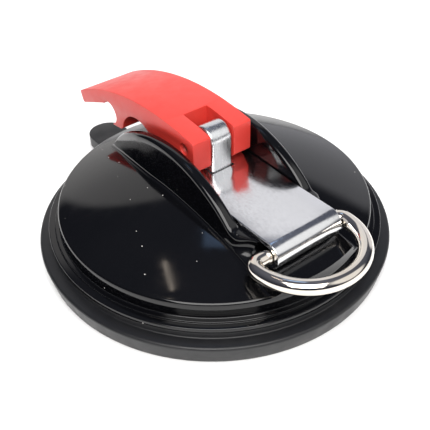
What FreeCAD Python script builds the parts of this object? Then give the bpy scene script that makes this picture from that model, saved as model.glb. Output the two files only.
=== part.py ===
import FreeCAD, Part
import math
import os
import Sketcher

# Lever suction anchor with a lashing ring.
# Frame: origin at the centre of the sealing plane, +Z away from the surface it grips,
# +Y towards the lever's tip, -Y towards the ring, X along the lever pin. Millimetres.
# Every moving piece stands in the locked pose: the lever is down and the stem is drawn up.

DIMENSIONS = {
    # rubber pad
    "pad_rim_radius": 60.0,
    "pad_foot_radius": 58.6,
    "pad_rim_height": 7.0,
    "pad_ledge_radius": 55.7,
    "pad_land_radius": 46.0,
    "pad_land_height": 9.8,
    "pad_seal_radius": 48.0,
    "pad_hollow_depth": 4.2,
    "pad_hollow_flat": 14.0,
    "pad_web_radius": 42.0,
    "pad_web_height": 8.0,
    "pad_boss_radius": 15.0,
    "pad_boss_height": 16.5,
    "pad_fit": 0.1,
    "tab_length": 79.0,
    "tab_half_width": 7.5,
    "tab_base": 1.2,
    "tab_thickness": 4.3,
    # anchor moulded into the pad's boss
    "anchor_radius": 13.0,
    "anchor_base": 10.5,
    "anchor_thickness": 2.0,
    "nut_corner_radius": 7.5,
    "nut_base": 7.0,
    "nut_height": 3.5,
    "tail_radius": 4.0,
    "tail_base": 6.8,
    # drawn stem
    "stem_half_width": 4.1,
    "eye_radius": 4.9,
    "pin_height": 39.4,
    "pin_radius": 2.0,
    "pin_half_length": 10.7,
    "running_clearance": 0.05,
    # return spring between the washer on the boss and the guide's flange
    "washer_radius": 11.0,
    "washer_hole_radius": 6.7,
    "washer_thickness": 0.8,
    "spring_radius": 9.0,
    "spring_wire_radius": 0.75,
    "spring_turns": 2.25,
    "spring_gap": 0.05,
    "guide_flange_radius": 10.6,
    "guide_flange_thickness": 1.5,
    "guide_wall": 1.9,
    "guide_clearance": 0.08,
    # cover
    "flange_radius": 56.2,
    "flange_top": 11.3,
    "ledge_radius": 54.0,
    "ledge_top": 11.9,
    "wall_radius": 52.4,
    "wall_inner_radius": 50.0,
    "dome_rim_height": 17.3,
    "dome_apex_height": 27.4,
    "dome_rim_round": 0.9,
    "shell_thickness": 2.5,
    "floor_height": 27.7,
    "floor_thickness": 2.6,
    "channel_half_width": 13.1,
    "saddle_centre_y": 3.0,
    "saddle_centre_z": -6.5,
    "saddle_radius": 47.0,
    "saddle_core_radius": 20.0,
    "saddle_foot_half_width": 18.5,
    "ridge_half_width": 17.0,
    "ridge_top_half_width": 15.6,
    "ridge_round": 1.4,
    "ridge_waist_radius": 40.0,
    "ridge_foot_radius": 33.0,
    "prow_foot_height": 18.6,
    "prow_waist_height": 21.8,
    "prow_waist_half_width": 14.0,
    "prow_top_half_width": 13.2,
    "prow_lip_height": 21.4,
    "trough_radius": 4.85,
    "core_half_width": 11.3,
    "core_front": 34.0,
    "core_back": 21.0,
    "back_floor_front": 25.3,
    "back_floor_rise": 0.5,
    "rib_thickness": 1.8,
    "rib_base": 12.5,
    "rib_inner_radius": 17.0,
    "tube_outer_radius": 13.6,
    "tube_inner_radius": 11.6,
    "tube_base": 17.6,
    "boss_radius": 3.8,
    "boss_base": 19.0,
    # tie plate
    "plate_thickness": 1.8,
    "plate_half_width": 12.8,
    "plate_back": 25.0,
    "curl_axis_y": -41.6,
    "curl_inner_radius": 2.75,
    "curl_end_angle": 335.0,
    "plate_stem_clearance": 0.3,
    "screw_x": 7.5,
    "screw_y": 18.0,
    "screw_head_radius": 3.3,
    "screw_shank_radius": 1.6,
    "screw_length": 9.0,
    # lashing ring
    "ring_wire_radius": 2.4,
    "ring_half_width": 17.8,
    "ring_corner_radius": 3.0,
    "ring_tilt": -2.0,
    # lever
    "lever_half_width": 11.5,
    "lever_front": -5.0,
    "lever_front_top": 43.6,
    "lever_top_radius": 112.0,
    "lever_tip_y": 66.8,
    "lever_tip_top": 31.2,
    "lever_tip_under_y": 65.2,
    "lever_tip_under": 26.8,
    "recess_back_y": 49.2,
    "recess_back_z": 33.6,
    "recess_front_y": 43.8,
    "recess_front_z": 27.2,
    "recess_radius": 4.4,
    "foot_y": 38.6,
    "foot_z": 27.9,
    "arch_front_y": 19.4,
    "arch_front_z": 35.2,
    "arch_radius": 11.0,
    "cam_back_y": 9.5,
    "cam_depth": 9.6,
    "cam_rise_per_radian": 1.91,
    "cam_front_depth": 6.3,
    "cam_round": 8.2,
    "slot_half_width": 4.65,
    "slot_back": 9.2,
}

SCREW_SIDES = {"left": -1, "right": 1}
RIB_COUNT = 8
EXTRA = 1.0


class Size:
    """A number together with the sheet expression that gives it."""

    def __init__(self, value, text):
        self.value = value
        self.text = text

    def _join(self, other, sign, value):
        other_text = other.text if isinstance(other, Size) else repr(float(other))
        return Size(value, "(%s %s %s)" % (self.text, sign, other_text))

    def __add__(self, other):
        return self._join(other, "+", self.value + number(other))

    def __sub__(self, other):
        return self._join(other, "-", self.value - number(other))

    def __mul__(self, other):
        return self._join(other, "*", self.value * number(other))

    def __truediv__(self, other):
        return self._join(other, "/", self.value / number(other))

    def __neg__(self):
        return Size(-self.value, "(0 - %s)" % self.text)

    def cosine(self):
        return Size(math.cos(math.radians(self.value)), "cos(%s)" % self.text)

    def sine(self):
        return Size(math.sin(math.radians(self.value)), "sin(%s)" % self.text)


def number(size):
    return size.value if isinstance(size, Size) else float(size)


def fill_sheet(doc):
    """Write every driving dimension into the sheet and return them as sizes."""
    sheet = doc.addObject("Spreadsheet::Sheet", "dims")
    for row, (alias, value) in enumerate(DIMENSIONS.items(), start=1):
        sheet.set("A%d" % row, alias)
        sheet.set("B%d" % row, str(value))
        sheet.setAlias("B%d" % row, alias)
    doc.recompute()
    return {alias: Size(sheet.get(alias), "dims.%s" % alias) for alias in DIMENSIONS}


def bind(obj, **sizes):
    """Bind properties of an object to expressions, or set plain numbers."""
    for name, size in sizes.items():
        if isinstance(size, Size):
            obj.setExpression(name, size.text)
        else:
            setattr(obj, name, size)


def place(obj, x=0.0, y=0.0, z=0.0, axis=(0, 0, 1), angle=0.0):
    """Give an object its placement, with a bound base where the place is a size."""
    rotation = FreeCAD.Rotation(FreeCAD.Vector(*axis), number(angle))
    base = FreeCAD.Vector(number(x), number(y), number(z))
    obj.Placement = FreeCAD.Placement(base, rotation)
    for letter, size in zip("xyz", (x, y, z)):
        if isinstance(size, Size):
            obj.setExpression("Placement.Base.%s" % letter, size.text)


def cylinder(doc, name, radius, height, x=0.0, y=0.0, z=0.0, axis=(0, 0, 1), angle=0.0):
    obj = doc.addObject("Part::Cylinder", name)
    bind(obj, Radius=radius, Height=height)
    place(obj, x, y, z, axis, angle)
    return obj


def box(doc, name, length, width, height, x, y, z, angle=0.0):
    obj = doc.addObject("Part::Box", name)
    bind(obj, Length=length, Width=width, Height=height)
    place(obj, x, y, z, (0, 0, 1), angle)
    return obj


def ball(doc, name, radius, top):
    obj = doc.addObject("Part::Sphere", name)
    bind(obj, Radius=radius)
    place(obj, z=top - radius)
    return obj


def fuse(doc, name, shapes):
    obj = doc.addObject("Part::MultiFuse", name)
    obj.Shapes = shapes
    obj.Refine = True
    return obj


def cut(doc, name, base, tool):
    obj = doc.addObject("Part::Cut", name)
    obj.Base = base
    obj.Tool = tool
    obj.Refine = True
    return obj


def common(doc, name, base, tool):
    obj = doc.addObject("Part::Common", name)
    obj.Base = base
    obj.Tool = tool
    return obj


def origin_plane(body, role):
    return next(item for item in body.Origin.OriginFeatures if item.Role == role)


def new_sketch(body, name, role):
    sketch = body.newObject("Sketcher::SketchObject", name)
    sketch.AttachmentSupport = (origin_plane(body, role), [""])
    sketch.MapMode = "FlatFace"
    return sketch


def pin_point(sketch, geometry, vertex, u, v):
    """Hold one vertex of a sketch at (u, v) by two bound distances."""
    for kind, size in (("DistanceX", u), ("DistanceY", v)):
        constraint = Sketcher.Constraint(kind, -1, 1, geometry, vertex, number(size))
        index = sketch.addConstraint(constraint)
        if isinstance(size, Size):
            sketch.setExpression("Constraints[%d]" % index, size.text)


def arc_between(start, end, radius, left):
    """The short arc from start to end, its centre on the left or right of the way."""
    chord = end - start
    middle = (start + end) * 0.5
    side = FreeCAD.Vector(-chord.y, chord.x, 0).normalize() * (1 if left else -1)
    centre = middle + side * math.sqrt(max(radius ** 2 - chord.Length ** 2 / 4, 0.0))
    return Part.Arc(start, centre - side * radius, end)


def ends_of(sketch, geometry, start):
    """The vertex numbers of an edge's first and last point, the first lying at start."""
    if sketch.getPoint(geometry, 1).distanceToPoint(start) < 1e-4:
        return 1, 2
    return 2, 1


def outline(sketch, corners):
    """Draw a closed outline.

    Each corner is (u, v), or (u, v, radius, left) where an arc leads to it from the
    corner before, with its centre on the left or right of the way.
    """
    points = [FreeCAD.Vector(number(corner[0]), number(corner[1]), 0) for corner in corners]
    edges = []
    for index, corner in enumerate(corners):
        start, end = points[index - 1], points[index]
        if len(corner) == 2:
            geometry = sketch.addGeometry(Part.LineSegment(start, end))
        else:
            geometry = sketch.addGeometry(arc_between(start, end, number(corner[2]), corner[3]))
        first, last = ends_of(sketch, geometry, start)
        pin_point(sketch, geometry, last, corner[0], corner[1])
        edges.append((geometry, first, last))
    for index, (geometry, first, _) in enumerate(edges):
        before, _, before_last = edges[index - 1]
        joint = Sketcher.Constraint("Coincident", before, before_last, geometry, first)
        sketch.addConstraint(joint)
    for (geometry, _, _), corner in zip(edges, corners):
        if len(corner) > 2:
            hold_radius(sketch, geometry, corner[2])


def hold_radius(sketch, geometry, radius):
    index = sketch.addConstraint(Sketcher.Constraint("Radius", geometry, number(radius)))
    if isinstance(radius, Size):
        sketch.setExpression("Constraints[%d]" % index, radius.text)


def new_body(doc, name):
    return doc.addObject("PartDesign::Body", name)


def revolve(body, sketch, name, axis="V_Axis", angle=360.0, midplane=False):
    feature = body.newObject("PartDesign::Revolution", name)
    feature.Profile = sketch
    feature.ReferenceAxis = (sketch, [axis])
    feature.Angle = angle
    feature.Midplane = midplane
    return feature


def pad(body, sketch, name, length, midplane=True):
    feature = body.newObject("PartDesign::Pad", name)
    feature.Profile = sketch
    feature.Midplane = midplane
    bind(feature, Length=length)
    return feature


def circle_sketch(body, name, role, u, v, radius):
    sketch = new_sketch(body, name, role)
    centre = FreeCAD.Vector(number(u), number(v), 0)
    geometry = sketch.addGeometry(Part.Circle(centre, FreeCAD.Vector(0, 0, 1), number(radius)))
    pin_point(sketch, geometry, 3, u, v)
    hold_radius(sketch, geometry, radius)
    return sketch


def pocket_through(body, sketch, name):
    feature = body.newObject("PartDesign::Pocket", name)
    feature.Profile = sketch
    feature.Type = 1
    feature.Midplane = True
    return feature


# ---------------------------------------------------------------- rubber pad and its anchor

def make_pad(doc, d):
    body = new_body(doc, "pad_moulding")
    section = new_sketch(body, "pad_section", "XZ_Plane")
    outline(section, [
        (0.0, d["pad_hollow_depth"]),
        (d["pad_hollow_flat"], d["pad_hollow_depth"]),
        (d["pad_seal_radius"], 0.0),
        (d["pad_foot_radius"], 0.0),
        (d["pad_rim_radius"], d["pad_rim_height"] - 0.8),
        (d["pad_rim_radius"] - 0.8, d["pad_rim_height"]),
        (d["pad_ledge_radius"], d["pad_rim_height"]),
        (d["pad_ledge_radius"] - 0.5, d["pad_land_height"]),
        (d["pad_land_radius"], d["pad_land_height"]),
        (d["pad_web_radius"], d["pad_web_height"]),
        (d["pad_boss_radius"] + 1.0, d["pad_web_height"] + 1.0),
        (d["pad_boss_radius"], d["pad_boss_height"]),
        (0.0, d["pad_boss_height"]),
    ])
    revolve(body, section, "pad_turn")
    tab = box(doc, "tab_strip", d["tab_half_width"] * 2, d["tab_length"] - d["tab_half_width"] - 50.0,
              d["tab_thickness"], -d["tab_half_width"], 50.0, d["tab_base"])
    tip = cylinder(doc, "tab_tip", d["tab_half_width"], d["tab_thickness"],
                   y=d["tab_length"] - d["tab_half_width"], z=d["tab_base"])
    whole = fuse(doc, "pad_with_tab", [body, tab, tip])
    # the moulding leaves room for the anchor, its nut and the stem that passes out of it
    fit = d["pad_fit"]
    hollow_plate = cylinder(doc, "anchor_room", d["anchor_radius"] + fit, d["anchor_thickness"] + fit * 2,
                            z=d["anchor_base"] - fit)
    hollow_nut = prism(doc, "nut_room", d["nut_corner_radius"] + fit, d["nut_height"] + fit * 2,
                       d["nut_base"] - fit)
    hollow_tail = cylinder(doc, "tail_room", d["tail_radius"] + fit, d["nut_base"] - d["tail_base"] + fit * 2,
                           z=d["tail_base"] - fit)
    shoulder = d["anchor_base"] + d["anchor_thickness"]
    hollow_stem = box(doc, "stem_room", (d["stem_half_width"] + fit) * 2, (d["eye_radius"] + fit) * 2,
                      d["pad_boss_height"] - shoulder + EXTRA, -d["stem_half_width"] - fit,
                      -d["eye_radius"] - fit, shoulder)
    rooms = fuse(doc, "anchor_rooms", [hollow_plate, hollow_nut, hollow_tail, hollow_stem])
    return cut(doc, "suction_pad", whole, rooms)


def prism(doc, name, corner_radius, height, base):
    obj = doc.addObject("Part::Prism", name)
    obj.Polygon = 6
    bind(obj, Circumradius=corner_radius, Height=height)
    place(obj, z=base)
    return obj


def make_anchor_plate(doc, d):
    disc = cylinder(doc, "anchor_disc", d["anchor_radius"], d["anchor_thickness"], z=d["anchor_base"])
    hole = cylinder(doc, "anchor_hole", d["tail_radius"] + d["running_clearance"],
                    d["anchor_thickness"] + EXTRA * 2, z=d["anchor_base"] - EXTRA)
    return cut(doc, "anchor_plate", disc, hole)


def make_anchor_nut(doc, d):
    blank = prism(doc, "nut_blank", d["nut_corner_radius"], d["nut_height"], d["nut_base"])
    hole = cylinder(doc, "nut_hole", d["tail_radius"] + d["running_clearance"],
                    d["nut_height"] + EXTRA * 2, z=d["nut_base"] - EXTRA)
    return cut(doc, "anchor_nut", blank, hole)


def make_stem(doc, d):
    body = new_body(doc, "stem_bar")
    side = new_sketch(body, "stem_side", "YZ_Plane")
    shoulder = d["anchor_base"] + d["anchor_thickness"]
    half_turn = d["eye_radius"]
    outline(side, [
        (-d["eye_radius"], shoulder),
        (d["eye_radius"], shoulder),
        (d["eye_radius"], d["pin_height"]),
        (0.0, d["pin_height"] + half_turn, d["eye_radius"], True),
        (-d["eye_radius"], d["pin_height"], d["eye_radius"], True),
    ])
    pad(body, side, "stem_bar_pad", d["stem_half_width"] * 2)
    eye = circle_sketch(body, "stem_eye", "YZ_Plane", 0.0, d["pin_height"],
                        d["pin_radius"] + d["running_clearance"])
    pocket_through(body, eye, "stem_eye_hole")
    tail = cylinder(doc, "stem_tail", d["tail_radius"], shoulder - d["tail_base"], z=d["tail_base"])
    return fuse(doc, "draw_stem", [body, tail])


# ---------------------------------------------------------------- spring, washer and guide

def make_washer(doc, d):
    disc = cylinder(doc, "washer_disc", d["washer_radius"], d["washer_thickness"], z=d["pad_boss_height"])
    hole = cylinder(doc, "washer_hole", d["washer_hole_radius"], d["washer_thickness"] + EXTRA * 2,
                    z=d["pad_boss_height"] - EXTRA)
    return cut(doc, "spring_washer", disc, hole)


def guide_base(d):
    return d["floor_height"] - d["floor_thickness"] - d["guide_flange_thickness"]


def wire_section(offset, radius):
    """A circle of four quarter arcs in the XZ plane, its centre at x = offset."""
    def point(eighth):
        angle = math.radians(45.0 * eighth)
        return FreeCAD.Vector(offset + radius * math.cos(angle), 0, radius * math.sin(angle))

    quarters = [Part.Arc(point(first), point(first + 1), point(first + 2)) for first in (0, 2, 4, 6)]
    return Part.Wire([quarter.toShape() for quarter in quarters])


def make_spring(doc, d):
    bottom = d["pad_boss_height"] + d["washer_thickness"] + d["spring_gap"] + d["spring_wire_radius"]
    top = guide_base(d) - d["spring_gap"] - d["spring_wire_radius"]
    rise = number(top) - number(bottom)
    radius = number(d["spring_radius"])
    helix = Part.Wire(Part.makeHelix(rise / number(d["spring_turns"]), rise, radius))
    coil = helix.makePipeShell([wire_section(radius, number(d["spring_wire_radius"]))], True, True)
    spring = doc.addObject("Part::Feature", "return_spring")
    spring.Shape = coil
    place(spring, z=bottom)
    return spring


def make_guide(doc, d):
    base = guide_base(d)
    flange = cylinder(doc, "guide_flange", d["guide_flange_radius"], d["guide_flange_thickness"], z=base)
    half_x = d["stem_half_width"] + d["guide_wall"]
    half_y = d["eye_radius"] + d["guide_wall"]
    sleeve = box(doc, "guide_sleeve", half_x * 2, half_y * 2, d["floor_thickness"],
                 -half_x, -half_y, base + d["guide_flange_thickness"])
    bore_x = d["stem_half_width"] + d["guide_clearance"]
    bore_y = d["eye_radius"] + d["guide_clearance"]
    bore = box(doc, "guide_bore", bore_x * 2, bore_y * 2, d["floor_thickness"] * 3,
               -bore_x, -bore_y, base - EXTRA)
    return cut(doc, "stem_guide", fuse(doc, "guide_blank", [flange, sleeve]), bore)


# ---------------------------------------------------------------- cover

def dome_radius(d):
    """Radius of the sphere through the dome's rim and apex."""
    rise = d["dome_apex_height"] - d["dome_rim_height"]
    return (d["wall_radius"] * d["wall_radius"] + rise * rise) / (rise * 2)


def make_outer_cap(doc, d):
    body = new_body(doc, "cap_outer")
    section = new_sketch(body, "cap_outer_section", "XZ_Plane")
    rim = d["dome_rim_round"]
    outline(section, [
        (0.0, d["pad_land_height"]),
        (d["flange_radius"], d["pad_land_height"]),
        (d["flange_radius"], d["flange_top"]),
        (d["ledge_radius"], d["flange_top"]),
        (d["ledge_radius"], d["ledge_top"]),
        (d["wall_radius"], d["ledge_top"]),
        (d["wall_radius"], d["dome_rim_height"] - rim),
        (d["wall_radius"] - rim, d["dome_rim_height"] + rim * 0.2, rim * 1.1, True),
        (0.0, d["dome_apex_height"], dome_radius(d), True),
    ])
    revolve(body, section, "cap_outer_turn")
    return body


def make_inner_cap(doc, d):
    """The room under the dome, down past the cover's foot."""
    body = new_body(doc, "cap_inner")
    section = new_sketch(body, "cap_inner_section", "XZ_Plane")
    thickness = d["shell_thickness"]
    outline(section, [
        (0.0, d["pad_land_height"] - EXTRA),
        (d["wall_inner_radius"], d["pad_land_height"] - EXTRA),
        (d["wall_inner_radius"], d["dome_rim_height"] - thickness * 0.6),
        (0.0, d["dome_apex_height"] - thickness, dome_radius(d), True),
    ])
    revolve(body, section, "cap_inner_turn")
    return body


def make_saddle(doc, d):
    """The raised back: a barrel of circular side outline, with scooped flanks, and a prow."""
    barrel = new_body(doc, "saddle_barrel")
    section = new_sketch(barrel, "saddle_section", "XZ_Plane")
    foot, side, top = d["saddle_foot_half_width"], d["ridge_half_width"], d["ridge_top_half_width"]
    crown, rounding = d["saddle_radius"], d["ridge_round"]
    outline(section, [
        (-foot, d["saddle_core_radius"]),
        (foot, d["saddle_core_radius"]),
        (foot, d["ridge_foot_radius"]),
        (side, d["ridge_waist_radius"]),
        (side, crown - rounding),
        (top, crown, rounding, True),
        (-top, crown),
        (-side, crown - rounding, rounding, True),
        (-side, d["ridge_waist_radius"]),
        (-foot, d["ridge_foot_radius"]),
    ])
    revolve(barrel, section, "saddle_turn", axis="H_Axis", angle=180.0, midplane=True)
    place(barrel, y=d["saddle_centre_y"], z=d["saddle_centre_z"])
    turn_upright(doc, barrel)
    prow = new_body(doc, "prow_block")
    front = new_sketch(prow, "prow_section", "XZ_Plane")
    outline(front, [
        (-d["saddle_foot_half_width"], d["ledge_top"]),
        (d["saddle_foot_half_width"], d["ledge_top"]),
        (d["saddle_foot_half_width"], d["prow_foot_height"]),
        (d["prow_waist_half_width"], d["prow_waist_height"]),
        (d["prow_top_half_width"], d["floor_height"]),
        (-d["prow_top_half_width"], d["floor_height"]),
        (-d["prow_waist_half_width"], d["prow_waist_height"]),
        (-d["saddle_foot_half_width"], d["prow_foot_height"]),
    ])
    pad(prow, front, "prow_pad", d["flange_radius"], midplane=False)
    whole = fuse(doc, "saddle_raw", [barrel, prow])
    bounds = cylinder(doc, "saddle_bounds", d["wall_radius"], 60.0, z=d["ledge_top"])
    return common(doc, "saddle", whole, bounds)


def turn_upright(doc, barrel):
    """Turn a half barrel about X by quarter turns until its round side faces up."""
    doc.recompute()
    centre = barrel.Shape.BoundBox.Center - barrel.Placement.Base
    quarters = round(math.degrees(math.atan2(centre.y, centre.z)) / 90.0)
    barrel.Placement.Rotation = FreeCAD.Rotation(FreeCAD.Vector(1, 0, 0), quarters * 90.0)


def make_cavity(doc, d):
    """The hollow under the cover, less the ribs, tube and bosses that stand in it."""
    core_top = d["floor_height"] - d["floor_thickness"]
    core = box(doc, "floor_core", d["core_half_width"] * 2, d["core_front"] + d["core_back"],
               core_top - d["rib_base"], -d["core_half_width"], -d["core_front"], d["rib_base"])
    room = fuse(doc, "cover_room", [make_inner_cap(doc, d), core])
    ribs = []
    reach, half_rib = number(d["wall_radius"]), number(d["rib_thickness"]) / 2
    for index in range(RIB_COUNT // 2):
        angle = 22.5 + index * 360.0 / RIB_COUNT
        turn = FreeCAD.Rotation(FreeCAD.Vector(0, 0, 1), angle)
        corner = turn.multVec(FreeCAD.Vector(-reach, -half_rib, 0))
        ribs.append(box(doc, "rib_%d" % index, reach * 2, d["rib_thickness"], 30.0,
                        corner.x, corner.y, d["rib_base"], angle))
    star = fuse(doc, "rib_star", ribs)
    middle = fuse(doc, "rib_clearance", [
        cylinder(doc, "boss_clearance", d["rib_inner_radius"], d["tube_base"] - d["rib_base"] + EXTRA,
                 z=d["rib_base"] - EXTRA),
        cylinder(doc, "tube_clearance", d["tube_inner_radius"], 30.0, z=d["rib_base"]),
    ])
    web = cut(doc, "rib_web", star, middle)
    tube = cut(doc, "spring_tube",
               cylinder(doc, "tube_outer", d["tube_outer_radius"], 12.0, z=d["tube_base"]),
               cylinder(doc, "tube_inner", d["tube_inner_radius"], 12.0, z=d["tube_base"]))
    bosses = []
    for side, sign in SCREW_SIDES.items():
        bosses.append(cylinder(doc, "screw_boss_%s" % side, d["boss_radius"], 8.0,
                               x=d["screw_x"] * sign, y=d["screw_y"], z=d["boss_base"]))
    standing = fuse(doc, "standing_pieces", [web, tube] + bosses)
    return cut(doc, "cover_cavity", room, standing)


def curl_axis_z(d):
    return d["floor_height"] - d["curl_inner_radius"]


def make_cover(doc, d):
    shell = fuse(doc, "cover_blank", [make_outer_cap(doc, d), make_saddle(doc, d)])
    width = d["channel_half_width"] * 2
    channel = box(doc, "channel", width, 120.0, 40.0, -d["channel_half_width"], -60.0, d["floor_height"])
    axis_z = curl_axis_z(d)
    trough = cylinder(doc, "curl_trough", d["trough_radius"], d["saddle_foot_half_width"] * 2,
                      x=-d["saddle_foot_half_width"], y=d["curl_axis_y"], z=axis_z,
                      axis=(0, 1, 0), angle=90.0)
    back = cut(doc, "back_channel",
               box(doc, "back_room", width, 60.0, 40.0, -d["channel_half_width"],
                   d["back_floor_front"], d["dome_rim_height"]),
               ball(doc, "back_floor", dome_radius(d), d["dome_apex_height"] + d["back_floor_rise"]))
    lip = box(doc, "lip_cut", 60.0, 20.0, 20.0, -30.0, d["curl_axis_y"] - 20.0, d["prow_lip_height"])
    half_x = d["stem_half_width"] + d["guide_wall"] + d["pad_fit"]
    half_y = d["eye_radius"] + d["guide_wall"] + d["pad_fit"]
    hole = box(doc, "guide_hole", half_x * 2, half_y * 2, 12.0, -half_x, -half_y, 20.0)
    cuts = [make_cavity(doc, d), channel, back, trough, lip, hole]
    for side, sign in SCREW_SIDES.items():
        cuts.append(cylinder(doc, "pilot_%s" % side, d["screw_shank_radius"], 12.0,
                             x=d["screw_x"] * sign, y=d["screw_y"],
                             z=d["floor_height"] - d["screw_length"] + d["plate_thickness"] - 0.5))
    return cut(doc, "cover", shell, fuse(doc, "cover_cuts", cuts))


# ---------------------------------------------------------------- tie plate, screws and ring

def make_tie_plate(doc, d):
    body = new_body(doc, "plate_sheet")
    side = new_sketch(body, "plate_side", "YZ_Plane")
    axis_y, axis_z = d["curl_axis_y"], curl_axis_z(d)
    inner = d["curl_inner_radius"]
    outer = inner + d["plate_thickness"]
    end_cos, end_sin = d["curl_end_angle"].cosine(), d["curl_end_angle"].sine()
    outline(side, [
        (d["plate_back"], d["floor_height"]),
        (d["plate_back"], d["floor_height"] + d["plate_thickness"]),
        (axis_y, axis_z + outer),
        (axis_y - outer, axis_z, outer, True),
        (axis_y, axis_z - outer, outer, True),
        (axis_y + outer * end_cos, axis_z + outer * end_sin, outer, True),
        (axis_y + inner * end_cos, axis_z + inner * end_sin),
        (axis_y, axis_z - inner, inner, False),
        (axis_y - inner, axis_z, inner, False),
        (axis_y, axis_z + inner, inner, False),
    ])
    pad(body, side, "plate_pad", d["plate_half_width"] * 2)
    gap = d["plate_stem_clearance"]
    half_x = d["stem_half_width"] + gap
    half_y = d["eye_radius"] + gap
    tools = [box(doc, "stem_window", half_x * 2, half_y * 2, 6.0, -half_x, -half_y,
                 d["floor_height"] - EXTRA)]
    for side_name, sign in SCREW_SIDES.items():
        tools.append(screw_blank(doc, d, "sink_%s" % side_name, sign, 0.1))
    return cut(doc, "tie_plate", body, fuse(doc, "plate_holes", tools))


def screw_blank(doc, d, name, sign, clearance):
    """A countersunk screw's solid, or with a clearance the hole that takes it."""
    top = d["floor_height"] + d["plate_thickness"]
    head = doc.addObject("Part::Cone", "%s_head" % name)
    bind(head, Radius1=d["screw_shank_radius"] + clearance, Radius2=d["screw_head_radius"] + clearance,
         Height=d["plate_thickness"])
    x, y = d["screw_x"] * sign, d["screw_y"]
    place(head, x, y, top - d["plate_thickness"])
    shank = cylinder(doc, "%s_shank" % name, d["screw_shank_radius"] + clearance, d["screw_length"],
                     x=x, y=y, z=top - d["screw_length"])
    return fuse(doc, "%s_blank" % name, [head, shank])


def make_screw(doc, d, side, sign):
    blank = screw_blank(doc, d, "screw_%s" % side, sign, 0.0)
    top = d["floor_height"] + d["plate_thickness"]
    x, y = d["screw_x"] * sign, d["screw_y"]
    arm, thin = 1.6, 0.4
    recess = fuse(doc, "recess_%s" % side, [
        box(doc, "recess_a_%s" % side, arm * 2, thin * 2, 2.0, x - arm, y - thin, top - 1.2),
        box(doc, "recess_b_%s" % side, thin * 2, arm * 2, 2.0, x - thin, y - arm, top - 1.2),
    ])
    return cut(doc, "plate_screw_%s" % side, blank, recess)


def make_ring(doc, d):
    """A D of round wire, drawn flat round its bar's axis, then tilted about that axis."""
    wire, half, corner = d["ring_wire_radius"], d["ring_half_width"], d["ring_corner_radius"]
    straight = half - corner
    pieces = [cylinder(doc, "ring_bar", wire, straight * 2, x=-straight, axis=(0, 1, 0), angle=90.0)]
    for name, sign, start in (("left", -1, 90.0), ("right", 1, 0.0)):
        bend = doc.addObject("Part::Torus", "ring_corner_%s" % name)
        bind(bend, Radius1=corner, Radius2=wire, Angle3=90.0)
        place(bend, x=straight * sign, y=-corner, axis=(0, 0, 1), angle=start)
        pieces.append(bend)
    bow = doc.addObject("Part::Torus", "ring_bow")
    bind(bow, Radius1=half, Radius2=wire, Angle3=180.0)
    place(bow, y=-corner, axis=(0, 0, 1), angle=180.0)
    pieces.append(bow)
    ring = fuse(doc, "d_ring", pieces)
    place(ring, y=d["curl_axis_y"], z=curl_axis_z(d), axis=(1, 0, 0), angle=d["ring_tilt"])
    return ring


# ---------------------------------------------------------------- lever and pin

def make_lever(doc, d):
    body = new_body(doc, "lever_moulding")
    side = new_sketch(body, "lever_side", "YZ_Plane")
    pin_z = d["pin_height"]
    outline(side, [
        (d["lever_front"], pin_z - d["cam_front_depth"]),
        (d["cam_rise_per_radian"], pin_z - d["cam_depth"], d["cam_round"], True),
        (d["cam_back_y"], pin_z - d["cam_depth"]),
        (d["arch_front_y"], d["arch_front_z"]),
        (d["foot_y"], d["foot_z"], d["arch_radius"], False),
        (d["recess_front_y"], d["recess_front_z"]),
        (d["recess_front_y"] + d["recess_radius"] * -0.6, d["recess_front_z"] + d["recess_radius"] * 0.87,
         d["recess_radius"], False),
        (d["recess_back_y"], d["recess_back_z"], d["recess_radius"], False),
        (d["lever_tip_under_y"], d["lever_tip_under"]),
        (d["lever_tip_y"], d["lever_tip_top"]),
        (d["lever_front"], d["lever_front_top"], d["lever_top_radius"], True),
    ])
    pad(body, side, "lever_pad", d["lever_half_width"] * 2)
    bore = circle_sketch(body, "lever_bore", "YZ_Plane", 0.0, pin_z, d["pin_radius"])
    pocket_through(body, bore, "lever_bore_hole")
    slot = box(doc, "lever_slot", d["slot_half_width"] * 2, d["slot_back"] + 20.0, 60.0,
               -d["slot_half_width"], -20.0, 10.0)
    return cut(doc, "lever", body, slot)


def make_pin(doc, d):
    return cylinder(doc, "lever_pin", d["pin_radius"], d["pin_half_length"] * 2,
                    x=-d["pin_half_length"], z=d["pin_height"], axis=(0, 1, 0), angle=90.0)


# ---------------------------------------------------------------- checks and files

def check(doc, parts):
    for obj in doc.Objects:
        for state in ("Invalid", "Error"):
            if state in obj.State:
                raise RuntimeError("%s did not build: %s" % (obj.Name, obj.State))
    for obj in parts:
        shape = obj.Shape
        if shape.isNull() or not shape.isValid() or not shape.Solids:
            raise RuntimeError("%s has no sound solid" % obj.Label)
        box_of = shape.BoundBox
        print("%-18s %d solid %9.1f mm3  x %6.1f %6.1f  y %6.1f %6.1f  z %5.1f %5.1f" % (
            obj.Label, len(shape.Solids), shape.Volume, box_of.XMin, box_of.XMax,
            box_of.YMin, box_of.YMax, box_of.ZMin, box_of.ZMax))


def main():
    doc = FreeCAD.newDocument("suction_anchor")
    d = fill_sheet(doc)
    parts = [
        make_pad(doc, d),
        make_anchor_plate(doc, d),
        make_anchor_nut(doc, d),
        make_stem(doc, d),
        make_washer(doc, d),
        make_spring(doc, d),
        make_guide(doc, d),
        make_cover(doc, d),
        make_tie_plate(doc, d),
        make_ring(doc, d),
        make_lever(doc, d),
        make_pin(doc, d),
    ]
    for side, sign in SCREW_SIDES.items():
        parts.append(make_screw(doc, d, side, sign))
    doc.recompute()
    check(doc, parts)
    os.makedirs("parts", exist_ok=True)
    for obj in parts:
        obj.Shape.exportStep("parts/%s.step" % obj.Label)


main()
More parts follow.
